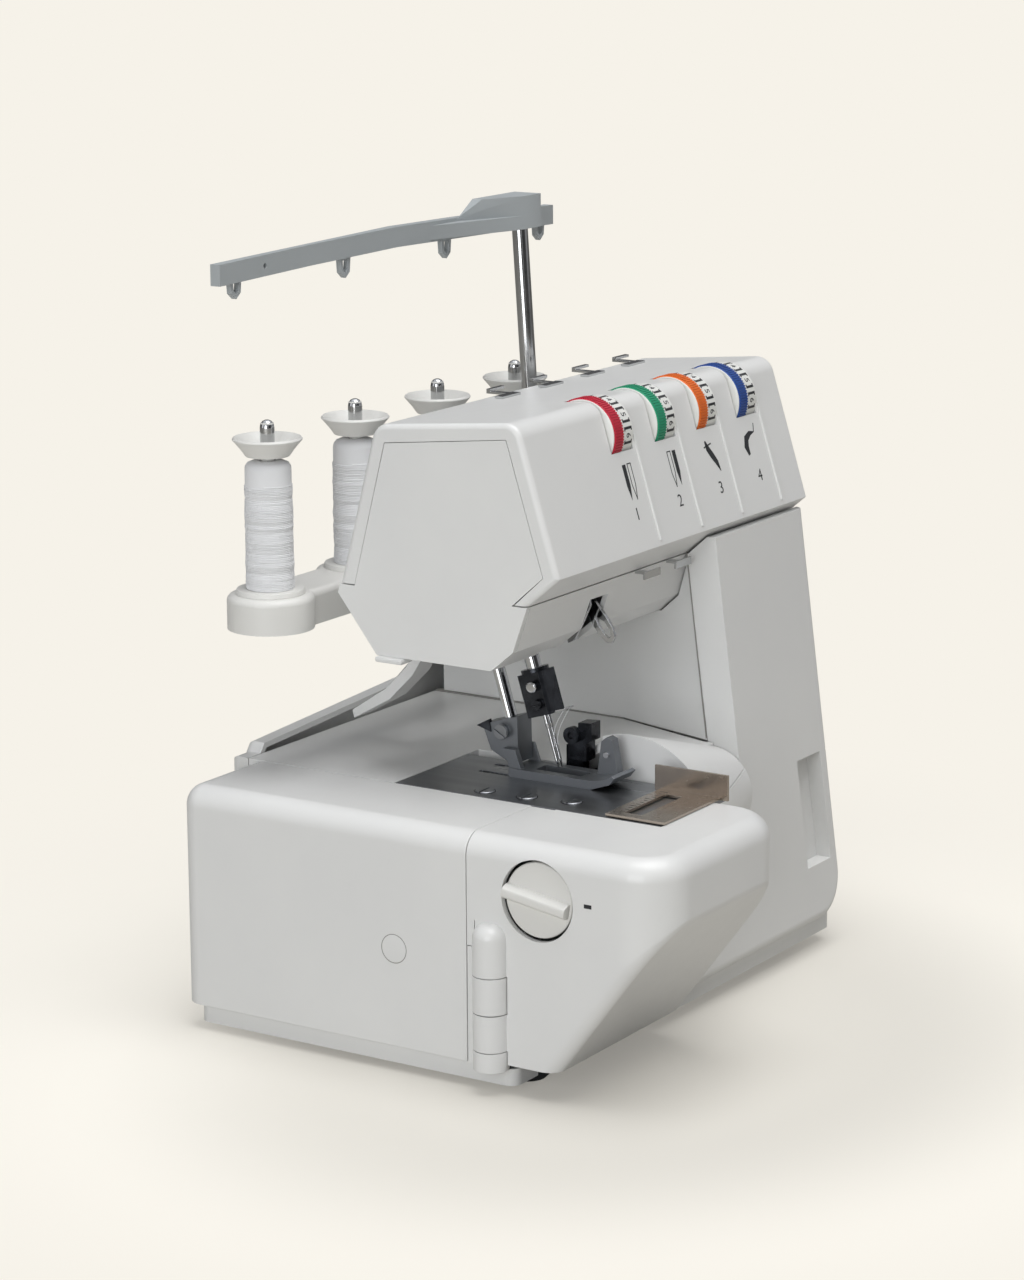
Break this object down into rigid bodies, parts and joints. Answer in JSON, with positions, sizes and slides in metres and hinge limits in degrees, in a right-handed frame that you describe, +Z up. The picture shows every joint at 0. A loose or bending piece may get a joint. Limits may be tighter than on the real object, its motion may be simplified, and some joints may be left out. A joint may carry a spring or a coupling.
{
  "type": "serger overlock machine",
  "caption": "Four-thread home serger with a slanted head, colour-coded tension dials, spool stand, telescopic thread guide, loopers behind a front door and a lifting presser foot.",
  "frame": {"origin": "on the table plane, below the middle of the machine's bounding box", "axes": "+X to the user's right, +Y to the back, away from the user, +Z up"},
  "size_m": [0.2782, 0.2416, 0.3287],
  "materials": {
    "white_casing": "satin",
    "off_white_plastic": "satin",
    "grey_plastic": "satin",
    "black_plastic": "matte",
    "red_plastic": "satin",
    "green_plastic": "satin",
    "orange_plastic": "satin",
    "blue_plastic": "satin",
    "casting": "as cast",
    "steel": "satin",
    "chrome": "polished",
    "black_steel": "black oxide",
    "bronze": "sintered",
    "rubber": "matte",
    "thread": "wound",
    "felt": "soft",
    "motor_can": "satin"
  },
  "bodies": {
    "machine": {"base_tray": "white_casing", "rubber_feet": "rubber", "door_hinge_leaf": "off_white_plastic", "bed_cover": "white_casing", "pillar_front_cover": "white_casing", "pillar_side_panel": "white_casing", "rear_casing": "white_casing", "right_side_cover": "white_casing", "head_top_cover": "white_casing", "lower_head_housing": "white_casing", "face_cover": "white_casing", "base_frame": "casting", "bar_bushes": "bronze", "needle_plate": "steel", "needle_plate_screws": "steel", "lower_knife": "steel", "motor": "motor_can", "drive_belt": "rubber", "tension_bracket": "steel", "tension_discs": "chrome", "thread_guides": "chrome", "spool_stand": "off_white_plastic", "spool_pads": "felt", "spool_caps": "off_white_plastic", "antenna_sleeve": "steel", "power_socket": "black_plastic"},
    "side_cover_slide": {"side_cover": "white_casing"},
    "front_door_body": {"front_door": "white_casing"},
    "stitch_knob": {"stitch_length_knob": "off_white_plastic"},
    "drive_line": {"main_shaft": "steel", "drive_pulley": "black_plastic", "handwheel": "off_white_plastic"},
    "motor_drive": {"motor_pulley": "black_plastic"},
    "needle_drive": {"needle_bar": "chrome", "needle_clamp": "black_steel", "needles": "chrome"},
    "rocker": {"rocker_shaft": "steel"},
    "rod": {"connecting_rod": "casting"},
    "take_up": {"take_up_lever": "chrome"},
    "looper_low": {"lower_looper": "chrome"},
    "looper_high": {"upper_looper": "chrome"},
    "knife": {"upper_knife": "black_steel"},
    "feed": {"feed_dog": "steel"},
    "lifter": {"presser_lifter": "white_casing"},
    "presser": {"presser_bar": "chrome", "presser_spring": "steel", "presser_ankle": "steel"},
    "foot": {"presser_foot": "steel"},
    "guide_fence": {"seam_guide": "steel"},
    "antenna": {"antenna_rod": "chrome"},
    "guide_bar": {"thread_guide_bar": "grey_plastic"},
    "switch_rocker": {"power_rocker": "black_plastic"},
    "dial_red_body": {"dial_red": "red_plastic"},
    "dial_green_body": {"dial_green": "green_plastic"},
    "dial_orange_body": {"dial_orange": "orange_plastic"},
    "dial_blue_body": {"dial_blue": "blue_plastic"},
    "spool_1": {"thread_spool_1": "thread"},
    "spool_2": {"thread_spool_2": "thread"},
    "spool_3": {"thread_spool_3": "thread"},
    "spool_4": {"thread_spool_4": "thread"}
  },
  "joints": [
    {"name": "side_cover_slide", "type": "slide", "parent": "machine", "child": "side_cover_slide", "axis": [-1, 0, 0], "range_m": [0, 0.055]},
    {"name": "front_door", "type": "hinge", "parent": "machine", "child": "front_door_body", "pos_m": [-0.13187, -0.04225, 0.043], "axis": [0, 0, -1], "range_deg": [0, 95]},
    {"name": "stitch_length", "type": "hinge", "parent": "machine", "child": "stitch_knob", "pos_m": [-0.13187, -0.06375, 0.0823], "axis": [1, 0, 0], "range_deg": [0, 270]},
    {"name": "handwheel_spin", "type": "hinge", "parent": "machine", "child": "drive_line", "pos_m": [0.13112, 0.04075, 0.073], "axis": [1, 0, 0], "continuous": true},
    {"name": "motor_spin", "type": "hinge", "parent": "machine", "child": "motor_drive", "pos_m": [0.09713, 0.07875, 0.049], "axis": [1, 0, 0], "continuous": true},
    {"name": "needle_bar_slide", "type": "slide", "parent": "machine", "child": "needle_drive", "axis": [0, 0.2924, 0.9563], "range_m": [-0.015, 0.009]},
    {"name": "rocker_swing", "type": "hinge", "parent": "machine", "child": "rocker", "pos_m": [0.02113, 0.03675, 0.183], "axis": [1, 0, 0], "range_deg": [-15.3, 25.4]},
    {"name": "rod_stroke", "type": "slide", "parent": "machine", "child": "rod", "axis": [0, 0, 1], "range_m": [-0.0107, 0.0065]},
    {"name": "take_up_swing", "type": "hinge", "parent": "machine", "child": "take_up", "pos_m": [-0.02287, -0.00525, 0.179], "axis": [1, 0, 0], "range_deg": [-10.9, 18.1]},
    {"name": "lower_looper_swing", "type": "hinge", "parent": "machine", "child": "looper_low", "pos_m": [-0.05887, -0.01625, 0.051], "axis": [0, 1, 0], "range_deg": [-8.3, 5]},
    {"name": "upper_looper_swing", "type": "hinge", "parent": "machine", "child": "looper_high", "pos_m": [-0.01688, -0.02625, 0.049], "axis": [0, 1, 0], "range_deg": [-3.2, 5.3]},
    {"name": "upper_knife_stroke", "type": "slide", "parent": "machine", "child": "knife", "axis": [0, 0, 1], "range_m": [-0.0038, 0.0023]},
    {"name": "feed_dog_stroke", "type": "slide", "parent": "machine", "child": "feed", "axis": [0, 1, 0], "range_m": [-0.002, 0.0012]},
    {"name": "lifter_swing", "type": "hinge", "parent": "machine", "child": "lifter", "pos_m": [-0.02888, 0.04375, 0.168], "axis": [1, 0, 0], "range_deg": [0, 30]},
    {"name": "presser_bar_slide", "type": "slide", "parent": "machine", "child": "presser", "axis": [0, 0.2924, 0.9563], "range_m": [0, 0.006], "deforming": ["presser_spring"]},
    {"name": "foot_tilt", "type": "hinge", "parent": "presser", "child": "foot", "pos_m": [-0.04088, 0.00175, 0.113], "axis": [-1, 0, 0], "range_deg": [0, 6], "stiffness_Nm_per_rad": 0.02},
    {"name": "seam_guide_slide", "type": "slide", "parent": "machine", "child": "guide_fence", "axis": [1, 0, 0], "range_m": [-0.01, 0.009]},
    {"name": "antenna_slide", "type": "slide", "parent": "machine", "child": "antenna", "axis": [0, 0.0663, 0.9978], "range_m": [-0.042, 0]},
    {"name": "guide_bar_turn", "type": "hinge", "parent": "antenna", "child": "guide_bar", "pos_m": [0.07723, 0.07672, 0.32063], "axis": [0, 0.0663, 0.9978], "range_deg": [-15, 15]},
    {"name": "power_switch", "type": "hinge", "parent": "machine", "child": "switch_rocker", "pos_m": [0.11962, 0.075, 0.0365], "axis": [0, 1, 0], "range_deg": [-10, 0]},
    {"name": "dial_red_turn", "type": "hinge", "parent": "machine", "child": "dial_red_body", "pos_m": [-0.01307, -0.01615, 0.244], "axis": [1, 0, 0], "range_deg": [0, 300]},
    {"name": "dial_green_turn", "type": "hinge", "parent": "machine", "child": "dial_green_body", "pos_m": [0.02142, -0.01615, 0.244], "axis": [1, 0, 0], "range_deg": [0, 300]},
    {"name": "dial_orange_turn", "type": "hinge", "parent": "machine", "child": "dial_orange_body", "pos_m": [0.05593, -0.01615, 0.244], "axis": [1, 0, 0], "range_deg": [0, 300]},
    {"name": "dial_blue_turn", "type": "hinge", "parent": "machine", "child": "dial_blue_body", "pos_m": [0.09043, -0.01615, 0.244], "axis": [1, 0, 0], "range_deg": [0, 300]},
    {"name": "spool_1_spin", "type": "hinge", "parent": "machine", "child": "spool_1", "pos_m": [-0.09788, 0.08635, 0.21], "axis": [0, 0, 1], "continuous": true},
    {"name": "spool_2_spin", "type": "hinge", "parent": "machine", "child": "spool_2", "pos_m": [-0.03587, 0.08635, 0.21], "axis": [0, 0, 1], "continuous": true},
    {"name": "spool_3_spin", "type": "hinge", "parent": "machine", "child": "spool_3", "pos_m": [0.02612, 0.08635, 0.21], "axis": [0, 0, 1], "continuous": true},
    {"name": "spool_4_spin", "type": "hinge", "parent": "machine", "child": "spool_4", "pos_m": [0.08812, 0.08635, 0.21], "axis": [0, 0, 1], "continuous": true}
  ],
  "couplings": [
    {"joint": "motor_spin", "follows": "handwheel_spin", "ratio": 3.6},
    {"joint": "rocker_swing", "follows": "needle_bar_slide", "rad_per_m": -29.41},
    {"joint": "rod_stroke", "follows": "needle_bar_slide", "ratio": 0.706},
    {"joint": "take_up_swing", "follows": "needle_bar_slide", "rad_per_m": -20.94},
    {"joint": "lower_looper_swing", "follows": "needle_bar_slide", "rad_per_m": 9.6},
    {"joint": "upper_looper_swing", "follows": "needle_bar_slide", "rad_per_m": -6.11},
    {"joint": "upper_knife_stroke", "follows": "needle_bar_slide", "ratio": 0.25},
    {"joint": "feed_dog_stroke", "follows": "needle_bar_slide", "ratio": 0.13},
    {"joint": "presser_bar_slide", "follows": "lifter_swing", "m_per_rad": 0.011459}
  ]
}
